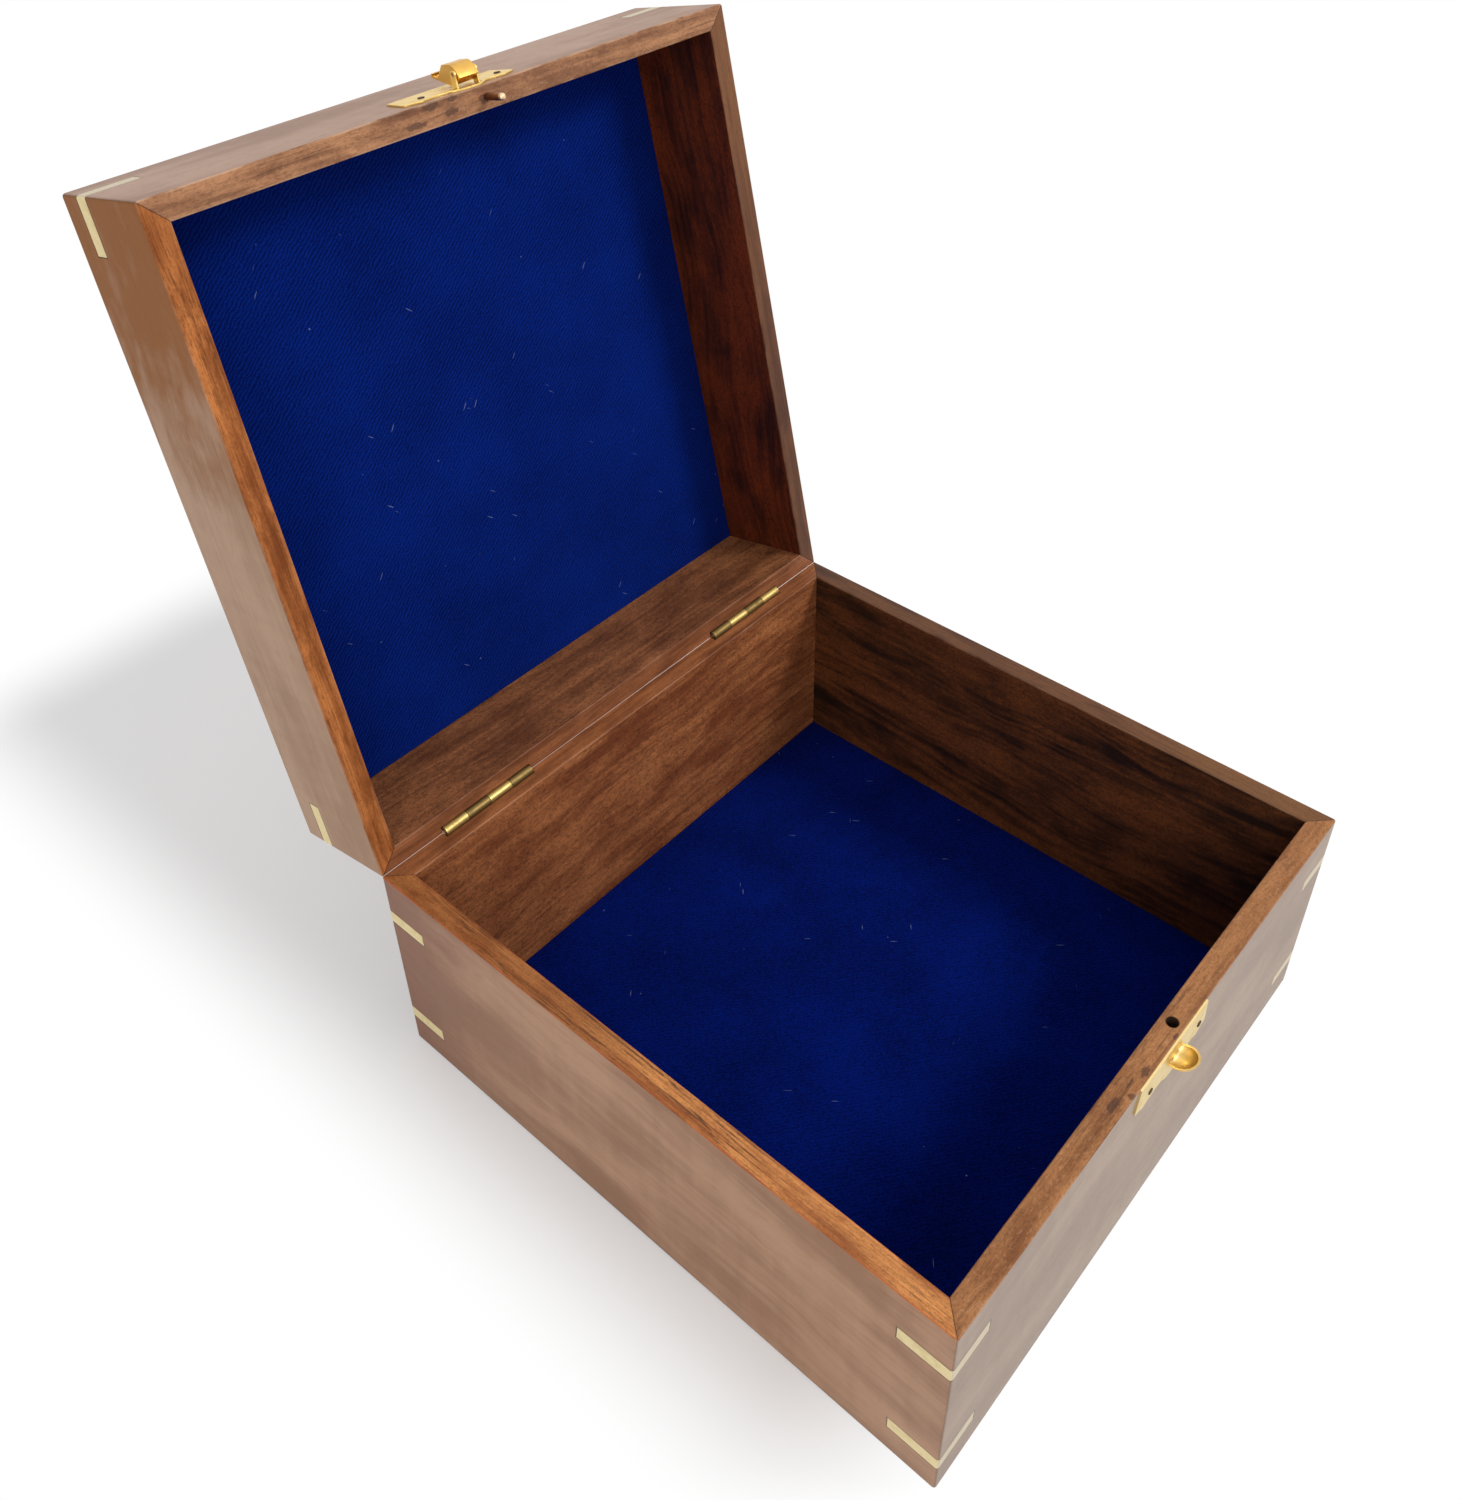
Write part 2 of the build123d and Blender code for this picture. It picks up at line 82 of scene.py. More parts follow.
# What the finishes follow, in millimetres on the shut case
MM = 1000
INLAY_LEG = 13.5
INLAY_HALF = 2.0
BASE_INLAYS = (52.0, 12.0)
LID_INLAYS = (92.3,)
BASE_RIM = (66.25, 66.6)
LID_RIM = (67.75, 67.4)
INNER_FACE = (5.2, 5.8)
PEG_HOLE_FLOOR = (55.0, 56.0)


# Camera, at the photograph's viewing angle; the picture's sizes are in pixels
PICTURE = (1462, 1500)
PICTURE_CENTRE = (737.56, 543.5)
FOCAL = 1458.61
SENSOR = 24


def place_camera():
    data = bpy.data.cameras.new("viewpoint")
    camera = bpy.data.objects.new("viewpoint", data)
    bpy.context.scene.collection.objects.link(camera)
    camera.location = (-0.2174, -0.149298, 0.355829)
    camera.rotation_euler = (radians(54.0016), radians(0.65775), radians(-48.88748))
    wide, high = PICTURE
    data.sensor_fit = "VERTICAL"
    data.sensor_height = SENSOR
    data.lens = SENSOR * FOCAL / high
    data.shift_x = (wide / 2 - PICTURE_CENTRE[0]) / high
    data.shift_y = (PICTURE_CENTRE[1] - high / 2) / high
    data.clip_start = 0.01
    bpy.context.scene.camera = camera


# Shader maths
class Value:
    """A shader socket that can be used in sums and products."""

    def __init__(self, paint, socket):
        self.paint = paint
        self.socket = socket

    def math(self, operation, *others):
        return self.paint.node("ShaderNodeMath", {"operation": operation}, 0, self, *others)

    def __add__(self, other):
        return self.math("ADD", other)

    def __radd__(self, other):
        return self.math("ADD", other)

    def __sub__(self, other):
        return self.math("SUBTRACT", other)

    def __rsub__(self, other):
        return self.paint.node("ShaderNodeMath", {"operation": "SUBTRACT"}, 0, other, self)

    def __mul__(self, other):
        return self.math("MULTIPLY", other)

    def __rmul__(self, other):
        return self.math("MULTIPLY", other)

    def __truediv__(self, other):
        return self.math("DIVIDE", other)

    def __abs__(self):
        return self.math("ABSOLUTE")

    def max(self, other):
        return self.math("MAXIMUM", other)

    def sine(self):
        return self.math("SINE")

    def root(self):
        return self.math("POWER", 0.5)

    def step(self, low, high):
        """Smoothly from 0 at low to 1 at high."""
        settings = {"interpolation_type": "SMOOTHSTEP"}
        if low < high:
            return self.paint.node("ShaderNodeMapRange", settings, 0, self, low, high, 0.0, 1.0)
        return self.paint.node("ShaderNodeMapRange", settings, 0, self, high, low, 1.0, 0.0)


class Paint:
    """A procedural material and the nodes that make it."""

    def __init__(self, name):
        self.material = bpy.data.materials.new(name)
        self.material.use_nodes = True
        self.tree = self.material.node_tree
        self.shader = self.tree.nodes["Principled BSDF"]
        self.output = self.tree.nodes["Material Output"]

    def node(self, kind, settings=None, output=0, *values, **named):
        made = self.tree.nodes.new(kind)
        for key, value in (settings or {}).items():
            setattr(made, key, value)
        for index, value in enumerate(values):
            self.feed(made.inputs[index], value)
        for key, value in named.items():
            self.feed(made.inputs[key.replace("_", " ")], value)
        return Value(self, made.outputs[output])

    def feed(self, socket, value):
        if isinstance(value, Value):
            self.tree.links.new(value.socket, socket)
        else:
            socket.default_value = value

    def set(self, **named):
        for key, value in named.items():
            self.feed(self.shader.inputs[key.replace("_", " ")], value)

    def place(self):
        """Object coordinates in millimetres as three values."""
        where = self.tree.nodes.new("ShaderNodeTexCoord")
        split = self.tree.nodes.new("ShaderNodeSeparateXYZ")
        self.tree.links.new(where.outputs["Object"], split.inputs[0])
        return [Value(self, out) * MM for out in split.outputs]

    def vector(self, x, y, z):
        return self.node("ShaderNodeCombineXYZ", None, 0, x, y, z)

    def noise(self, x, y, z, detail, roughness, distortion=0.0):
        """Clouds of noise, one cloud wide for each unit of x, y and z."""
        return self.node("ShaderNodeTexNoise", None, "Fac", Vector=self.vector(x, y, z), Scale=1.0,
                         Detail=detail, Roughness=roughness, Distortion=distortion)

    def cells(self, x, y):
        """How far the nearest of some scattered points is."""
        return self.node("ShaderNodeTexVoronoi", None, "Distance", Vector=self.vector(x, y, 0.0), Scale=1.0)

    def mix(self, factor, first, second):
        made = self.tree.nodes.new("ShaderNodeMix")
        made.data_type = "RGBA"
        self.feed(made.inputs[0], factor)
        self.feed(made.inputs[6], first)
        self.feed(made.inputs[7], second)
        return Value(self, made.outputs[2])

    def bump(self, height, strength, distance):
        made = self.node("ShaderNodeBump", None, 0, Strength=strength, Distance=distance, Height=height)
        self.feed(self.shader.inputs["Normal"], made)


def tone(red, green, blue):
    """A colour written as it is seen on a screen, 0 to 255."""
    values = []
    for part in (red, green, blue):
        part = part / 255
        values.append(part / 12.92 if part <= 0.04045 else ((part + 0.055) / 1.055) ** 2.4)
    return (*values, 1.0)


def distance(across, inward):
    """How far a point lies from a place, from its two offsets."""
    return (across * across + inward * inward).root()


# Wood
LINE_TONE = tone(64, 36, 22)
PORE_TONE = tone(46, 24, 14)
FIBRE_TONE = tone(92, 50, 26)
SWIRL_LIGHT = tone(196, 146, 104)
SWIRL_DARK = tone(108, 66, 40)
GRIT_TONE = tone(84, 46, 24)
VEIN_TONE = tone(70, 36, 18)
SMOKE_TONE = tone(44, 22, 12)
SPOT_TONE = tone(74, 46, 34)
HOLE_SHADE_TONE = tone(34, 16, 8)
JOINT_TONE = tone(38, 20, 12)
SEAM_AND_FOOT_SHADE_TONE = tone(66, 42, 30)
# The tone of the painted highlight along the rims' edges
EDGE_HIGHLIGHT_TONE = tone(222, 186, 156)
PANEL_LINE_TONE = tone(70, 42, 28)
PANEL_PORE_TONE = tone(52, 28, 16)

WOOD_GLOSS = 0.25
WAX_ROUGHNESS = 0.28
FIGURE_RANGE = (0.38, 0.60)
LINE_RANGE = (0.50, 0.75)
PORE_RANGE = (0.60, 0.72)

Grain = namedtuple("Grain", "clouds mottle streaks lines pores curl")


def shut_place(paint, lid):
    """The place of a point in millimetres when the case is shut."""
    x, y, z = paint.place()
    if not lid:
        return x, y, z
    dy = y - HINGE[0] * MM
    dz = z - HINGE[1] * MM
    turned_y = dy * cos(OPEN) - dz * sin(OPEN) + HINGE[0] * MM
    turned_z = dy * sin(OPEN) + dz * cos(OPEN) + HINGE[1] * MM
    return x, turned_y, turned_z


def board_place(paint, lid, side):
    """Along a board, up it, and into it from its outer face, in millimetres."""
    x, y, z = shut_place(paint, lid)
    half = HALF * MM
    if side == "front":
        return x, z, y + half
    if side == "back":
        return x, z, half - y
    if side == "left":
        return y, z, x + half
    return y, z, half - x


def wood_grain(paint, along, up, into, seed):
    """The figure of one board: clouds, mottle, streaks, dark lines, pores and curl, each from 0 to 1."""
    drift = paint.noise(along * 0.012 + seed, up * 0.03, into * 0.03, 2.0, 0.5)
    bent = up + (drift - 0.5) * 22.0
    deep = into + (drift - 0.5) * 9.0
    return Grain(
        clouds=paint.noise(along * 0.014 + seed, bent * 0.045, deep * 0.05, 3.0, 0.55),
        mottle=paint.noise(along * 0.06 + seed * 2, bent * 0.12, deep * 0.12, 4.0, 0.6),
        streaks=paint.noise(along * 0.012 + seed * 3, bent * 0.42, deep * 0.42, 5.0, 0.62),
        lines=paint.noise(along * 0.008 + seed * 5, bent * 1.3, deep * 1.3, 3.0, 0.7),
        pores=paint.noise(along * 0.30 + seed * 7, bent * 3.6, deep * 3.6, 2.0, 0.5),
        curl=paint.noise(along * 0.20 + seed, bent * 0.03, deep * 0.03, 2.0, 0.5),
    )


def toned_end(paint, along, mottle, colour, end, unevenness, strength):
    """Another tone towards one end of a board; end is its tone and where it starts and is full."""
    ending, start, finish = end
    place = along + (mottle - 0.5) * unevenness
    return paint.mix(place.step(start, finish) * strength, colour, ending)


def outer_tone(paint, board, along, grain):
    """The colour of a board's outer face."""
    dark, light = board["outer"]
    figure = grain.clouds * 0.55 + grain.mottle * 0.15 + grain.streaks * 0.20 + grain.curl * 0.10
    colour = paint.mix(figure.step(0.41, 0.59), dark, light)
    if "end" in board:
        colour = toned_end(paint, along, grain.mottle, colour, board["end"], 90.0, 0.9)
    return paint.mix(grain.mottle.step(0.52, 0.68) * 0.28, colour, board.get("blush", dark))


def rim_tone(paint, board, along, up, into, grain, grit, seed):
    """The colour of a board's rim, with fibres, curly figure, grit and veins."""
    dark, light = board["rim"]
    figure = grain.clouds * 0.25 + grain.streaks * 0.45 + grain.mottle * 0.30
    colour = paint.mix(figure.step(*FIGURE_RANGE), dark, light)
    if "rim_end" in board:
        colour = toned_end(paint, along, grain.mottle, colour, board["rim_end"], 60.0, 0.5)
    fibres = paint.noise(along * 0.05 + seed, up * 2.4, into * 2.4, 3.0, 0.65)
    curly = board.get("curly", 0.0)
    colour = paint.mix(fibres.step(0.46, 0.64) * (0.30 - 0.22 * curly), colour, FIBRE_TONE)
    if curly:
        swirl = paint.noise(along * 0.30 + seed, up * 0.45, into * 0.55, 4.0, 0.7, 2.2)
        colour = paint.mix(swirl.step(0.53, 0.64) * 0.34 * curly, colour, SWIRL_LIGHT)
        colour = paint.mix(swirl.step(0.47, 0.36) * 0.34 * curly, colour, SWIRL_DARK)
    colour = paint.mix(grit.step(0.50, 0.62) * 0.34, colour, GRIT_TONE)
    veins = (grain.lines * 0.6 + fibres * 0.4).step(0.49, 0.60) * grain.clouds.step(0.47, 0.55)
    return paint.mix(veins * board.get("veins", 0.35), colour, VEIN_TONE)


def inner_tone(paint, board, along, up, into, grain, grit, seed):
    """The colour of a board's inner face, smoky and rough; on the right boards its dark tones are painted
    shade.
    """
    dark, light = board["inner"]
    smoke_and_shade = board.get("smoke_and_shade", SMOKE_TONE)
    figure = grain.streaks * 0.35 + grain.clouds * 0.35 + grain.mottle * 0.30
    colour = paint.mix(figure.step(*FIGURE_RANGE), dark, light)
    rough = paint.noise(along * 0.7 + seed, up * 1.1, into * 1.1, 3.0, 0.75)
    colour = paint.mix(rough.step(0.44, 0.66) * 0.38, colour, smoke_and_shade)
    return paint.mix(grit.step(0.49, 0.60) * 0.50, colour, smoke_and_shade)


def rim_spots(paint, along, into, places, seed):
    """Ragged dark spots; places are (along, in, half length, half width) in millimetres."""
    ragged = paint.noise(along * 0.9 + seed, into * 0.9, 0.0, 3.0, 0.6) * 1.6 - 0.8
    mask = 0.0
    for at, deep, length, width in places:
        reach = distance((along - at) / length, (into - deep) / width) + ragged
        mask = reach.step(1.15, 0.75).max(mask)
    return mask


def dark_lines(lid, corner, up, into, rim_mask):
    """The mitre's joint on the rim and the dark outline of the brass let into the corners."""
    edge = abs(corner - into).step(0.26, 0.06) * rim_mask
    for level in LID_INLAYS if lid else BASE_INLAYS:
        gap = (abs(up - level) - INLAY_HALF).max(corner - INLAY_LEG)
        line = (gap.step(-0.12, 0.02) * gap.step(0.42, 0.12)) * into.step(1.0, 0.4)
        edge = edge.max(line)
    return edge


def wood(name, lid, side, board, seed):
    """A board's finish: each face has its own dark and light tone."""
    paint = Paint(name)
    along, up, into = board_place(paint, lid, side)
    grain = wood_grain(paint, along, up, into, seed)
    grit = paint.noise(along * 1.3 + seed, up * 2.4, into * 2.4, 3.0, 0.75)
    in_mask = into.step(*INNER_FACE)
    rim_mask = up.step(*(LID_RIM if lid else BASE_RIM))
    outer_mask = (1 - in_mask) * (1 - rim_mask)
    pore_mask = grain.pores.step(*PORE_RANGE)
    corner = HALF * MM - abs(along)

    inner = inner_tone(paint, board, along, up, into, grain, grit, seed)
    colour = paint.mix(in_mask, outer_tone(paint, board, along, grain), inner)
    colour = paint.mix(rim_mask, colour, rim_tone(paint, board, along, up, into, grain, grit, seed))
    colour = paint.mix(grain.lines.step(*LINE_RANGE) * (0.30 - 0.12 * outer_mask), colour, LINE_TONE)
    colour = paint.mix(pore_mask * (0.30 - 0.14 * outer_mask), colour, PORE_TONE)
    if "spots" in board:
        stain = rim_spots(paint, along, into, board["spots"], seed)
        colour = paint.mix(stain * rim_mask * 0.7, colour, SPOT_TONE)
    # Painted shade: the inside of the locating pin's hole is darkened
    if "hole" in board:
        at, deep, radius = board["hole"]
        hole_shade = distance(along - at, into - deep).step(radius + 0.35, radius - 0.1)
        colour = paint.mix(hole_shade * up.step(*PEG_HOLE_FLOOR), colour, HOLE_SHADE_TONE)
    colour = paint.mix(dark_lines(lid, corner, up, into, rim_mask) * 0.75, colour, JOINT_TONE)
    # A dark line at the mitred corners, and on the base a painted shade along the bottom edge, where the
    # boards meet the floor
    seam_and_foot_shade = corner.step(0.5, 0.15) * into.step(0.6, 0.3)
    if not lid:
        seam_and_foot_shade = seam_and_foot_shade.max(up.step(0.9, 0.2) * 0.9)
    colour = paint.mix(seam_and_foot_shade * outer_mask * 0.55, colour, SEAM_AND_FOOT_SHADE_TONE)
    # Painted highlight: a light line along the rim's outer and inner edges, where they catch the light
    edge_highlight = into.step(0.55, 0.1).max(into.step(5.5, 5.9)) * rim_mask * grain.mottle.step(0.40, 0.56)
    colour = paint.mix(edge_highlight * board.get("edge_highlight", 0.08), colour, board.get("edge_highlight_tone", EDGE_HIGHLIGHT_TONE))

    paint.set(
        Base_Color=colour,
        Roughness=0.40 + 0.16 * grain.streaks + 0.14 * in_mask + 0.1 * pore_mask,
        Coat_Weight=board.get("coat", 0.12) * outer_mask + board.get("wax", 0.03),
        Specular_IOR_Level=board.get("gloss", WOOD_GLOSS),
        Coat_Roughness=WAX_ROUGHNESS,
    )
    paint.bump(grain.lines * 0.4 - pore_mask * 0.8 + grain.streaks * 0.3, 0.22, 0.0002)
    return paint.material


def panel_wood(name, lid, dark, light, seed):
    """The thin panels' finish, with the figure running across the case."""
    paint = Paint(name)
    grain = wood_grain(paint, *shut_place(paint, lid), seed)
    figure = grain.clouds * 0.40 + grain.streaks * 0.30 + grain.mottle * 0.20 + grain.curl * 0.10
    pore_mask = grain.pores.step(*PORE_RANGE)
    colour = paint.mix(figure.step(*FIGURE_RANGE), dark, light)
    colour = paint.mix(grain.lines.step(*LINE_RANGE) * 0.3, colour, PANEL_LINE_TONE)
    colour = paint.mix(pore_mask * 0.3, colour, PANEL_PORE_TONE)
    paint.set(
        Base_Color=colour,
        Roughness=0.42 + 0.16 * grain.streaks,
        Coat_Weight=0.2 * figure,
        Specular_IOR_Level=WOOD_GLOSS,
        Coat_Roughness=WAX_ROUGHNESS,
    )
    paint.bump(grain.lines * 0.4 - pore_mask * 0.8 + grain.streaks * 0.3, 0.22, 0.0002)
    return paint.material


# Metal
def brass(name, bright, dull, roughness, patina, metallic=1.0, scratch=0.3, seed=0.0, tip=None, face=None,
          bill=None):
    """Brass with clouds of tarnish, small flecks and fine scratches.

    tip is the tone of the locating pin's end, face (whether on the lid, tone) the painted glare that
    makes an inlay's front paler, and bill (bright, dull) the tone of the catch's bill.
    """
    paint = Paint(name)
    x, y, z = paint.place()
    clouds = paint.noise(x * 0.35 + seed, y * 0.35, z * 0.35, 4.0, 0.6)
    flecks = paint.noise(x * 2.2, y * 2.2, z * 2.2 + seed, 3.0, 0.6)
    fine = paint.noise(x * 1.2, y * 9.0, z * 9.0, 2.0, 0.6)
    tarnish = clouds.step(0.45, 0.7) * 0.6 + flecks.step(0.58, 0.72) * 0.5
    colour = paint.mix(tarnish * patina, bright, dull)
    if tip:
        height = shut_place(paint, True)[2]
        colour = paint.mix(height.step(62.4, 61.4) * 0.85, colour, tip)
    if bill:
        reach = -HALF * MM - shut_place(paint, False)[1]
        colour = paint.mix(reach.step(0.6, 1.1), colour, paint.mix(tarnish * patina, *bill))
    # Painted glare: the inlay's front face is paler and greyer, where light glances off it
    if face:
        lid, pale = face
        depth = shut_place(paint, lid)[1] + HALF * MM
        colour = paint.mix(depth.step(0.3, 0.15) * 0.85, colour, pale)
    paint.set(Base_Color=colour, Metallic=metallic, Roughness=roughness + 0.18 * clouds + 0.14 * tarnish)
    paint.bump(fine * 0.5 + flecks * 0.5, scratch, 0.00008)
    return paint.material


# Felt
LINT_TONE = tone(150, 165, 210)


def stray_threads(paint, x, y, turn, seed):
    """A few stray threads lying one way on the felt."""
    along = x * cos(turn) + y * sin(turn)
    across = y * cos(turn) - x * sin(turn)
    near = paint.cells(along * 0.05 + seed, across * 0.8)
    few = paint.noise(x * 0.05 + seed, y * 0.05, seed, 2.0, 0.5).step(0.57, 0.62)
    return near.step(0.075, 0.04) * few


def felt(name, lid, deep, light, twill, seed):
    """Short wool felt with a faint slanting rib, clouds in its nap and a few light specks and threads."""
    paint = Paint(name)
    x, y, z = shut_place(paint, lid)
    nap = paint.noise(x * 1.9, y * 1.9, z * 0.5 + seed, 4.0, 0.8)
    clouds = paint.noise(x * 0.03 + seed, y * 0.03, z * 0.03, 3.0, 0.6)
    wobble = paint.noise(x * 0.3, y * 0.3, seed, 2.0, 0.5)
    rib = ((x * 0.62 + y * 0.78 + wobble * 1.8) * (2 * pi)).sine() * 0.5 + 0.5
    shade = nap * 0.75 + (rib - 0.5) * twill + clouds * 0.25
    colour = paint.mix(shade.step(0.36, 0.66), deep, light)
    chosen = paint.noise(x * 0.06 + seed, y * 0.06, 3.0, 2.0, 0.5).step(0.50, 0.60)
    lint = paint.cells(x * 0.16 + seed, y * 0.16).step(0.045, 0.02) * chosen
    for turn, shift in ((0.7, 1.0), (-0.9, 4.0)):
        lint = lint.max(stray_threads(paint, x, y, turn, seed + shift))
    colour = paint.mix(lint * 0.55, colour, LINT_TONE)
    paint.set(
        Base_Color=colour,
        Roughness=0.92 + 0.06 * nap,
        Specular_IOR_Level=0.02,
        Sheen_Weight=0.02,
        Sheen_Roughness=0.5,
    )
    paint.bump(nap * 0.7 + rib * twill * 1.4, 0.5, 0.0003)
    return paint.material


# Shapes
def new_piece(name, made):
    """An object in the scene, made from a bmesh."""
    data = bpy.data.meshes.new(name)
    made.to_mesh(data)
    made.free()
    piece = bpy.data.objects.new(name, data)
    bpy.context.scene.collection.objects.link(piece)
    return piece


def shift(made, by, verts=None):
    bmesh.ops.translate(made, verts=verts or list(made.verts), vec=by)


def stretch(made, by, verts=None):
    bmesh.ops.scale(made, verts=verts or list(made.verts), vec=by)


def turn(made, angle, axis, centre=(0, 0, 0), verts=None):
    matrix = Matrix.Rotation(angle, 3, axis)
    bmesh.ops.rotate(made, verts=verts or list(made.verts), cent=centre, matrix=matrix)


def throw_open(made):
    """Take a shape of the shut lid to where it is on the open one."""
    turn(made, -OPEN, "X", AXIS)


def face_outwards(made):
    bmesh.ops.recalc_face_normals(made, faces=list(made.faces))


def join_flat_faces(made):
    bmesh.ops.dissolve_limit(made, angle_limit=FLAT, verts=list(made.verts), edges=list(made.edges))


def merged_copy(node):
    """A node's shape with its double points merged and its flat faces whole."""
    made = bmesh.new()
    made.from_mesh(nodes[node].data)
    bmesh.ops.remove_doubles(made, verts=list(made.verts), dist=DOUBLE)
    join_flat_faces(made)
    return made


def stand_in(piece, body, node):
    """Let a piece ride on a body and stand for a node."""
    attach(piece, body)
    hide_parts(node)


# Felt, in metres: its soft edge's width and drop, and its nap's height and pitch
SOFT_WIDE = 0.0022
SOFT_DROP = 0.0003
NAP_HIGH = 0.00008
NAP_PITCH = 60
FELT_SQUARES = 60


def felt_shape(low, high, lid):
    """A square of felt with soft edges and a slightly uneven nap, laid between two levels."""
    made = bmesh.new()
    bmesh.ops.create_grid(made, x_segments=FELT_SQUARES, y_segments=FELT_SQUARES, size=FELT_HALF)
    thick = high - low
    top = bmesh.ops.extrude_face_region(made, geom=list(made.faces))
    raised = [item for item in top["geom"] if isinstance(item, bmesh.types.BMVert)]
    shift(made, (0, 0, thick), raised)
    face_outwards(made)
    for vert in raised:
        edge = FELT_HALF - max(abs(vert.co.x), abs(vert.co.y))
        soft = min(edge / SOFT_WIDE, 1.0)
        ripple = noise.noise(Vector((vert.co.x * NAP_PITCH, vert.co.y * NAP_PITCH, 4.0)))
        vert.co.z += NAP_HIGH * ripple * soft - SOFT_DROP * (1 - soft) ** 2
    shift(made, (0, 0, -thick / 2))
    if lid:
        turn(made, pi, "X")
    shift(made, (0, 0, (low + high) / 2))
    if lid:
        throw_open(made)
    return made


# Boards with their back edges made good
def cut(made, point, normal):
    """Cut off what lies on the normal's side of a plane, and close the cut."""
    geom = list(made.verts) + list(made.edges) + list(made.faces)
    parted = bmesh.ops.bisect_plane(made, geom=geom, plane_co=point, plane_no=normal, clear_outer=True)
    edges = [item for item in parted["geom_cut"] if isinstance(item, bmesh.types.BMEdge)]
    bmesh.ops.contextual_create(made, geom=edges)


def round_back_corners(made):
    corners = []
    for edge in made.edges:
        run = edge.verts[1].co - edge.verts[0].co
        if abs(run.z) > 0.5 * EDGE_TALL and edge.verts[0].co.y > HALF - 0.0001:
            corners.append(edge)
    bmesh.ops.bevel(made, geom=corners, offset=CORNER_ROUND, offset_type="OFFSET", segments=CORNER_FACETS,
                    profile=0.5, affect="EDGES", material=-1)


def back_edge(side):
    """Wood that carries a base board's back edge out to its narrow stopping bevel."""
    made = bmesh.new()
    bmesh.ops.create_cube(made, size=1.0)
    stretch(made, (2 * HALF, EDGE_DEEP, EDGE_TALL))
    shift(made, (0, HALF - EDGE_DEEP / 2, RIM - EDGE_TALL / 2))
    round_back_corners(made)
    lean = OPEN / 2
    stop = Vector((0, sin(lean), cos(lean)))
    inner = Vector((0, -sin(lean), cos(lean)))
    lower = Vector((0, -cos(lean), -sin(lean)))
    cut(made, AXIS - stop * EDGE_SLACK, stop)
    cut(made, AXIS + inner * EDGE_BITE, inner)
    cut(made, AXIS + lower * EDGE_REACH, lower)
    if side == "back":
        cut(made, (0, 0, 0), (1, -1, 0))
        cut(made, (0, 0, 0), (-1, -1, 0))
    else:
        hand = -1 if side == "left" else 1
        cut(made, (0, 0, 0), (-hand, 1, 0))
        cut(made, (hand * HALF, 0, RIM - RIM_ROUND), (hand, 0, 1))
    face_outwards(made)
    return made


def mirror_to_lid(made):
    """Mirror a shape of the base's rim across the hinge's axis."""
    shift(made, (0, 0, -HINGE[1]))
    stretch(made, (1, 1, -1))
    shift(made, (0, 0, HINGE[1]))
    face_outwards(made)


def leaf_kerfs():
    """Room for the leaves of both hinges."""
    made = bmesh.new()
    for hand in (-1, 1):
        box = bmesh.ops.create_cube(made, size=1.0)["verts"]
        stretch(made, (SEAT_LONG, KERF_WIDE, KERF_TALL), box)
        shift(made, (hand * HINGE_MIDDLE, KERF_FROM_MIDDLE, HINGE[1]), box)
    return made


def rod(made, radius, depth, facets, axis, place):
    """A closed rod, tipped over about an axis and centred on a place."""
    verts = bmesh.ops.create_cone(made, cap_ends=True, segments=facets, radius1=radius, radius2=radius,
                                  depth=depth)["verts"]
    turn(made, pi / 2, axis, verts=verts)
    shift(made, place, verts)


def barrel_seats():
    """Room for the barrels of both hinges and for the heads of their brads."""
    made = bmesh.new()
    for hand in (-1, 1):
        along = hand * HINGE_MIDDLE
        rod(made, BARREL_GROOVE, SEAT_LONG, 64, "Y", (along, *HINGE))
        for step in BRAD_STEPS:
            for drop in BRAD_DROPS:
                place = (along + step, BRAD_HOLE_MIDDLE, HINGE[1] + drop)
                rod(made, BRAD_HEAD, BRAD_HOLE, 32, "X", place)
    return made


def put_in_fixed_order(data):
    """Give a mesh's points, faces and corners the same order each run, as a boolean leaves it to chance."""
    made = bmesh.new()
    points = sorted(data.vertices, key=lambda point: tuple(point.co))
    place = {point.index: number for number, point in enumerate(points)}
    verts = [made.verts.new(point.co) for point in points]
    faces = []
    for face in data.polygons:
        corners = [place[number] for number in face.vertices]
        first = corners.index(min(corners))
        faces.append(corners[first:] + corners[:first])
    for corners in sorted(faces):
        made.faces.new([verts[corner] for corner in corners])
    made.to_mesh(data)
    made.free()


def combine(piece, made, operation):
    """Add a shape to a piece or take it away."""
    other = new_piece("tool", made)
    change = piece.modifiers.new("change", "BOOLEAN")
    change.operation = operation
    change.solver = "EXACT"
    change.object = other
    shaped = bpy.data.meshes.new_from_object(piece.evaluated_get(bpy.context.evaluated_depsgraph_get()))
    put_in_fixed_order(shaped)
    piece.modifiers.clear()
    piece.data = shaped
    bpy.data.objects.remove(other)


def clean_up(data):
    """Take slivers out of a mesh and leave its flat faces whole."""
    made = bmesh.new()
    made.from_mesh(data)
    bmesh.ops.remove_doubles(made, verts=list(made.verts), dist=SLIVER)
    bmesh.ops.dissolve_degenerate(made, edges=list(made.edges), dist=SLIVER)
    join_flat_faces(made)
    made.to_mesh(data)
    made.free()


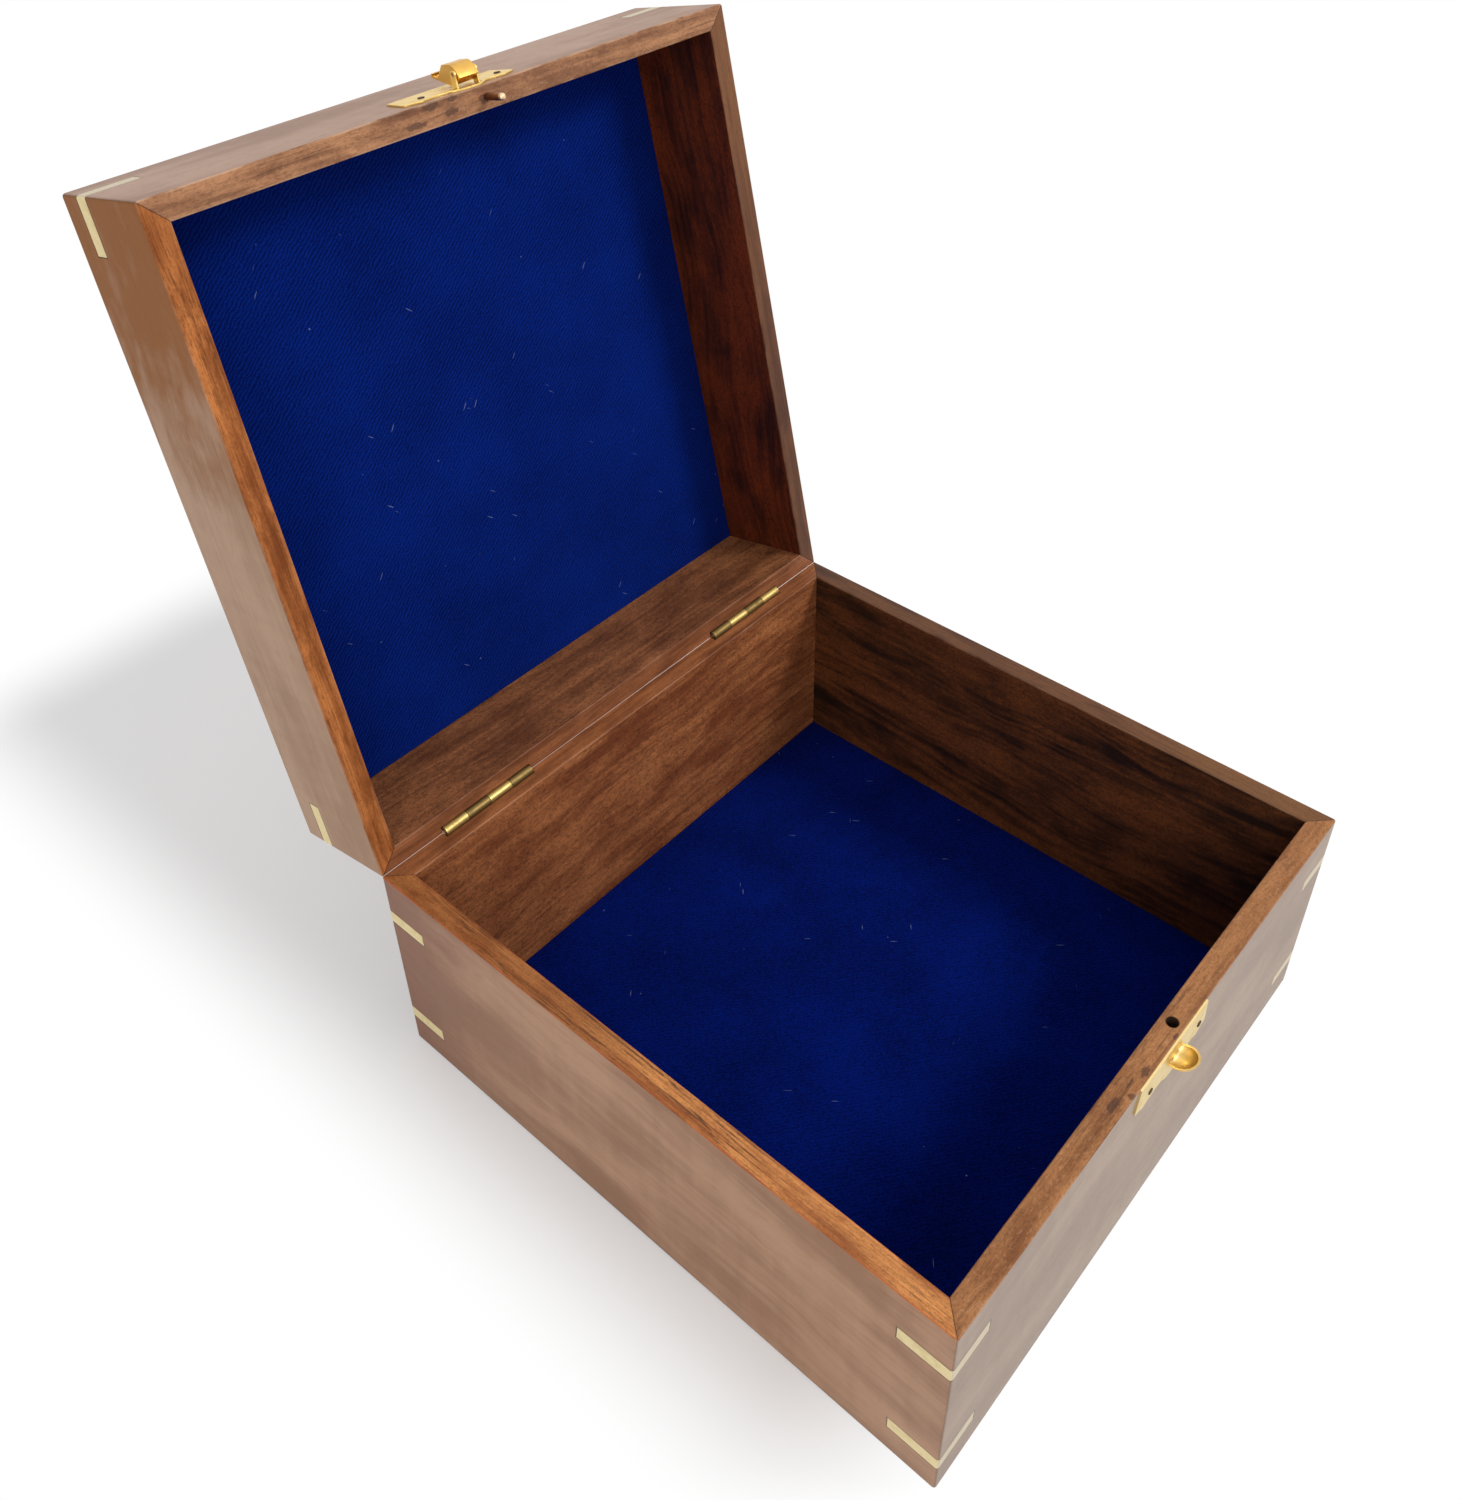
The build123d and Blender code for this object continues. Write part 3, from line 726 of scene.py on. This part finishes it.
def back_board(part, side, material):
    """A board with its back edge made good, in place of the plain one."""
    lid = part == "lid"
    node = f"{part}_{side}_wall"
    piece = new_piece(f"{part}_{side}_board", merged_copy(node))
    edge = back_edge(side)
    if lid:
        mirror_to_lid(edge)
        throw_open(edge)
    combine(piece, edge, "UNION")
    if side == "back":
        for seats in (leaf_kerfs(), barrel_seats()):
            if lid:
                throw_open(seats)
            combine(piece, seats, "DIFFERENCE")
    data = piece.data
    clean_up(data)
    data.materials.clear()
    data.materials.append(material)
    for face in data.polygons:
        face.use_smooth = False
        face.material_index = 0
    stand_in(piece, part, node)


# Fittings
def round_bends(made, shortest, longest, offset):
    """Round the bends of folded sheet that run across the case and are so long."""
    bends = []
    for edge in made.edges:
        run = edge.verts[1].co - edge.verts[0].co
        across = abs(run.x) > 0.95 * run.length and shortest < run.length < longest
        if across and len(edge.link_faces) == 2 and radians(20) < edge.calc_face_angle() < radians(86):
            bends.append(edge)
    bmesh.ops.bevel(made, geom=bends, offset=offset, offset_type="OFFSET", segments=5, profile=0.5,
                    affect="EDGES", material=-1, clamp_overlap=True)


def soften_hood(made):
    """The hood is bent, not creased: its web first, then its narrow lip."""
    round_bends(made, 0.0052, 0.0065, 0.0010)
    round_bends(made, 0.0042, 0.0052, 0.0006)


def dressed(node, name, body, material, width, angle, slot, shaping=None):
    """A smooth copy of a fitting with its edges eased by a width, where they are sharper than an angle."""
    made = merged_copy(node)
    if shaping:
        shaping(made)
    piece = new_piece(name, made)
    data = piece.data
    data.materials.append(material)
    for face in data.polygons:
        face.use_smooth = True
    data.set_sharp_from_angle(angle=radians(angle))
    ease = piece.modifiers.new("eased edges", "BEVEL")
    ease.width = width
    ease.segments = 2
    ease.limit_method = "ANGLE"
    ease.angle_limit = radians(angle)
    ease.harden_normals = False
    stand_in(piece, body, node)


def paint_node(node, material):
    target = nodes[node]
    if not target.material_slots:
        target.data.materials.append(material)
    for slot in target.material_slots:
        slot.material = material


# Finishes
HIDDEN_OUTER = (tone(132, 90, 64), tone(166, 124, 96))
LID_INNER = (tone(84, 44, 28), tone(130, 76, 52))

# Each board's (dark, light) tones on its outer face, rim and inner face, and what sets it apart:
#   end, rim_end: a tone towards one end, and where along the board it starts and is full
#   blush: a tone in the outer face's mottle; smoke_and_shade: the inner face's dark tone, painted shade on
#       the right boards
#   curly, veins, edge_highlight, edge_highlight_tone: how curly and veined the rim is, and the painted
#   highlight along its edges
#   gloss, coat, wax: how far the outer face shines
#   spots: dark spots on the rim; hole: the locating pin's hole (along, in, radius), painted dark inside as
#       shade
BOARDS = {
    "base_front": {
        "outer": (tone(141, 118, 101), tone(160, 137, 118)),
        "rim": (tone(130, 79, 41), tone(176, 119, 72)),
        "inner": (tone(96, 54, 32), tone(148, 92, 62)),
        "curly": 1.0,
        "hole": (3.2, 3.0, 1.5),
        "spots": (
            (-24.6, 2.6, 2.6, 1.0), (-20.1, 0.4, 0.9, 0.9), (-12.6, 1.4, 1.9, 0.9),
            (-17.3, 2.6, 1.7, 0.35), (0.2, 0.6, 1.1, 0.5),
        ),
    },
    "base_back": {
        "outer": HIDDEN_OUTER,
        "rim": (tone(110, 60, 31), tone(167, 103, 61)),
        "inner": (tone(132, 70, 37), tone(198, 124, 74)),
    },
    "base_left": {
        "outer": (tone(143, 99, 65), tone(176, 132, 99)),
        "rim": (tone(150, 80, 34), tone(224, 150, 84)),
        "inner": (tone(84, 48, 30), tone(126, 80, 54)),
        "end": (tone(124, 74, 46), 30.0, 100.0),
        "rim_end": (tone(116, 60, 26), -15.0, 20.0),
        "blush": tone(152, 98, 66),
        "veins": 0.75,
        "edge_highlight": 0.4,
        "edge_highlight_tone": tone(196, 92, 50),
    },
    # Its inner face is written much darker than the other boards', with a near-black mottle: painted shade
    "base_right": {
        "outer": HIDDEN_OUTER,
        "rim": (tone(68, 37, 19), tone(110, 69, 40)),
        "inner": (tone(32, 14, 4), tone(120, 66, 30)),
        "rim_end": (tone(140, 95, 54), -15.0, -60.0),
        "smoke_and_shade": tone(12, 5, 2),
    },
    "lid_front": {
        "outer": (tone(145, 104, 78), tone(176, 138, 114)),
        "rim": (tone(116, 74, 48), tone(178, 126, 88)),
        "inner": LID_INNER,
        "curly": 0.8,
        "edge_highlight": 0.45,
        "spots": (
            (-13.5, 0.9, 2.6, 1.1), (-8.0, 3.6, 1.9, 0.9), (-18.6, 4.2, 3.2, 0.8),
            (-6.9, 0.8, 1.6, 0.6), (2.2, 3.2, 1.5, 1.2),
        ),
    },
    "lid_back": {
        "outer": HIDDEN_OUTER,
        "rim": (tone(108, 60, 34), tone(160, 100, 64)),
        "inner": (tone(112, 64, 35), tone(180, 114, 69)),
    },
    "lid_left": {
        "outer": (tone(166, 133, 108), tone(186, 153, 129)),
        "rim": (tone(126, 68, 33), tone(198, 123, 68)),
        "inner": LID_INNER,
        "end": (tone(143, 85, 30), -8.0, -66.0),
        "blush": tone(166, 124, 98),
        "edge_highlight": 0.2,
        "gloss": 0.06,
        "coat": 0.02,
        "wax": 0.01,
    },
    # Its inner face is written much darker than the other boards', with a near-black mottle: painted shade
    "lid_right": {
        "outer": HIDDEN_OUTER,
        "rim": (tone(70, 36, 18), tone(110, 68, 40)),
        "inner": (tone(40, 9, 1), tone(118, 46, 8)),
        "rim_end": (tone(140, 92, 54), -10.0, -75.0),
        "smoke_and_shade": tone(16, 5, 1),
    },
}
FIRST_SEED = 1.7
SEED_STEP = 2.3


def finish_boards():
    for number, (name, board) in enumerate(BOARDS.items()):
        part, side = name.split("_")
        material = wood(f"rosewood_{name}", part == "lid", side, board, FIRST_SEED + SEED_STEP * number)
        if side == "front":
            paint_node(f"{name}_wall", material)
        else:
            back_board(part, side, material)
    bottom = panel_wood("panel_wood_base", False, tone(120, 84, 58), tone(160, 120, 88), 31.0)
    top = panel_wood("panel_wood_lid", True, tone(140, 98, 72), tone(180, 138, 108), 37.0)
    paint_node("base_bottom_panel", bottom)
    paint_node("lid_top_panel", top)


def finish_inlays():
    for part in ("base", "lid"):
        # The paler tone on the inlays' front faces is painted glare
        face = (part == "lid", tone(204, 190, 168))
        inlay = brass(f"inlay_brass_{part}", tone(230, 211, 160), tone(204, 180, 126), 0.42, 0.7,
                      metallic=0.6, scratch=0.15, face=face)
        for node in nodes:
            if node.startswith(f"{part}_inlay_"):
                paint_node(node, inlay)


def brass_finishes():
    """The brass of the latch, hinges, nails and pins, each as bright or dull as it is on the case."""
    return {
        "catch": brass("catch_brass", tone(230, 206, 146), tone(204, 170, 102), 0.34, 0.5, scratch=0.04,
                       seed=3.0, bill=(tone(214, 182, 112), tone(174, 136, 76))),
        "latch": brass("latch_brass", tone(232, 200, 118), tone(206, 164, 84), 0.26, 0.5, scratch=0.05,
                       seed=3.0),
        "hood": brass("hood_brass", tone(222, 176, 92), tone(190, 136, 62), 0.24, 0.5, scratch=0.05,
                      seed=4.0),
        "bright": brass("hinge_brass_bright", tone(188, 162, 100), tone(136, 110, 64), 0.32, 0.7,
                        scratch=0.10, seed=7.0),
        "dull": brass("hinge_brass_dull", tone(128, 106, 64), tone(84, 66, 40), 0.40, 0.8,
                      scratch=0.12, seed=8.0),
        "nail": brass("nail_brass", tone(84, 64, 40), tone(44, 32, 22), 0.45, 1.0, metallic=0.9, seed=9.0),
        "pin": brass("pin_brass", tone(170, 124, 86), tone(96, 62, 42), 0.35, 1.0, scratch=0.2, seed=11.0),
        "peg": brass("peg_brass", tone(138, 96, 66), tone(84, 52, 34), 0.35, 1.0, scratch=0.2, seed=12.0,
                     tip=tone(236, 206, 168)),
    }


# Each fitting's node, new name, body, finish, width of its eased edges in metres, the angle in degrees
# from which an edge is sharp, slot, and any shaping of its own
FITTINGS = [
    ("catch_plate", "catch_with_bill", "base", "catch", 0.00009, 32, "brass_latch"),
    ("catch_plate_nails", "catch_brads", "base", "nail", 0.00006, 32, "plate_nail"),
    ("hasp_plate", "hasp_back_plate", "lid", "latch", 0.00009, 32, "brass_latch"),
    ("hasp_plate_nails", "hasp_brads", "lid", "nail", 0.00006, 32, "plate_nail"),
    ("hasp_pin", "hasp_pivot_pin", "lid", "pin", 0.00005, 40, "brass_pin"),
    ("hasp_flap", "hasp_hood", "hasp", "hood", 0.00018, 50, "brass_latch", soften_hood),
    ("locating_pin", "locating_peg", "lid", "peg", 0.0001, 40, "brass_pin"),
]
for hand in ("left", "right"):
    FITTINGS += [
        (f"base_hinge_leaf_{hand}", f"base_hinge_{hand}", "base", "dull", 0.00008, 32, "brass_hinge"),
        (f"lid_hinge_leaf_{hand}", f"lid_hinge_{hand}", "lid", "bright", 0.00008, 32, "brass_hinge"),
        (f"hinge_pin_{hand}", f"hinge_wire_{hand}", "base", "pin", 0.00006, 32, "brass_pin"),
    ]


def finish_fittings():
    finishes = brass_finishes()
    for node, name, body, finish, *how in FITTINGS:
        dressed(node, name, body, finishes[finish], *how)
    for node in ("base_hinge_nails", "lid_hinge_nails"):
        paint_node(node, finishes["nail"])


def lay_felt():
    base = new_piece("base_felt", felt_shape(PANEL, PANEL + FELT, False))
    base.data.materials.append(felt("felt_navy", False, tone(0, 10, 62), tone(3, 28, 120), 0.06, 2.0))
    stand_in(base, "base", "base_felt_lining")
    low = LID_TOP - PANEL - FELT
    lid = new_piece("lid_felt", felt_shape(low, low + FELT, True))
    lid.data.materials.append(felt("felt_royal", True, tone(1, 16, 74), tone(5, 36, 124), 0.16, 5.0))
    stand_in(lid, "lid", "lid_felt_lining")


# Stage: the floor's half width in metres, the area that keeps the case's shadow, in millimetres (half
# its width, its middle and half its depth, and how softly it ends), and the white glow left inside it
FLOOR_HALF = 6.0
SHADE_HALF_WIDE = 85.0
SHADE_MIDDLE = 122.5
SHADE_HALF_DEEP = 167.5
SHADE_SOFT = 46.0
SHADE_GLOW = 0.22

# Each lamp's name, place, aim, size in metres and watts
LAMPS = (
    ("key", (0.55, -0.75, 0.95), (0, 0, 0.08), 0.32, 7.4),
    ("fill", (-0.9, -0.7, 0.7), (0, 0, 0.08), 0.9, 5.0),
    ("top", (0.1, 0.2, 1.2), (0, 0, 0.05), 0.8, 1.5),
)
ROOM_LEVEL = 0.45
BACKDROP_LEVEL = 1.0


def floor():
    made = bmesh.new()
    bmesh.ops.create_grid(made, x_segments=1, y_segments=1, size=FLOOR_HALF)
    piece = new_piece("floor", made)
    paint = Paint("pale_floor")
    x, y, z = paint.place()
    paint.set(Base_Color=tone(251, 251, 252), Roughness=0.9, Specular_IOR_Level=0.1)
    ray = paint.tree.nodes.new("ShaderNodeLightPath")
    seen = Value(paint, ray.outputs["Is Camera Ray"])
    for kind in ("Is Glossy Ray", "Is Transmission Ray"):
        seen = seen.max(Value(paint, ray.outputs[kind]))
    beside = (abs(x) - SHADE_HALF_WIDE).max(0.0)
    behind = (abs(y - SHADE_MIDDLE) - SHADE_HALF_DEEP).max(0.0)
    far = distance(beside, behind).step(0.0, SHADE_SOFT) * (1 - SHADE_GLOW) + SHADE_GLOW
    glow = paint.node("ShaderNodeEmission", None, 0, (1, 1, 1, 1), 1.0)
    plain = Value(paint, paint.shader.outputs[0])
    both = paint.node("ShaderNodeMixShader", None, 0, far * seen, plain, glow)
    paint.feed(paint.output.inputs["Surface"], both)
    piece.data.materials.append(paint.material)


def light(name, place, aim, size, watts):
    data = bpy.data.lights.new(name, "AREA")
    data.shape = "DISK"
    data.size = size
    data.energy = watts
    lamp = bpy.data.objects.new(name, data)
    bpy.context.scene.collection.objects.link(lamp)
    lamp.location = place
    direction = Vector(aim) - Vector(place)
    lamp.rotation_euler = direction.to_track_quat("-Z", "Y").to_euler()


def studio():
    """A white backdrop, a plainer level of light from all round, and the lamps."""
    scene = bpy.context.scene
    scene.view_settings.view_transform = "Standard"
    world = bpy.data.worlds.new("studio")
    scene.world = world
    world.use_nodes = True
    tree = world.node_tree
    back = tree.nodes["Background"]
    back.inputs[0].default_value = (1, 1, 1, 1)
    ray = tree.nodes.new("ShaderNodeLightPath")
    seen = ray.outputs["Is Camera Ray"]
    for kind in ("Is Glossy Ray", "Is Transmission Ray"):
        either = tree.nodes.new("ShaderNodeMath")
        either.operation = "MAXIMUM"
        tree.links.new(seen, either.inputs[0])
        tree.links.new(ray.outputs[kind], either.inputs[1])
        seen = either.outputs[0]
    level = tree.nodes.new("ShaderNodeMapRange")
    tree.links.new(seen, level.inputs[0])
    level.inputs["To Min"].default_value = ROOM_LEVEL
    level.inputs["To Max"].default_value = BACKDROP_LEVEL
    tree.links.new(level.outputs[0], back.inputs[1])
    for lamp in LAMPS:
        light(*lamp)


place_camera()
finish_boards()
finish_inlays()
finish_fittings()
lay_felt()
floor()
studio()
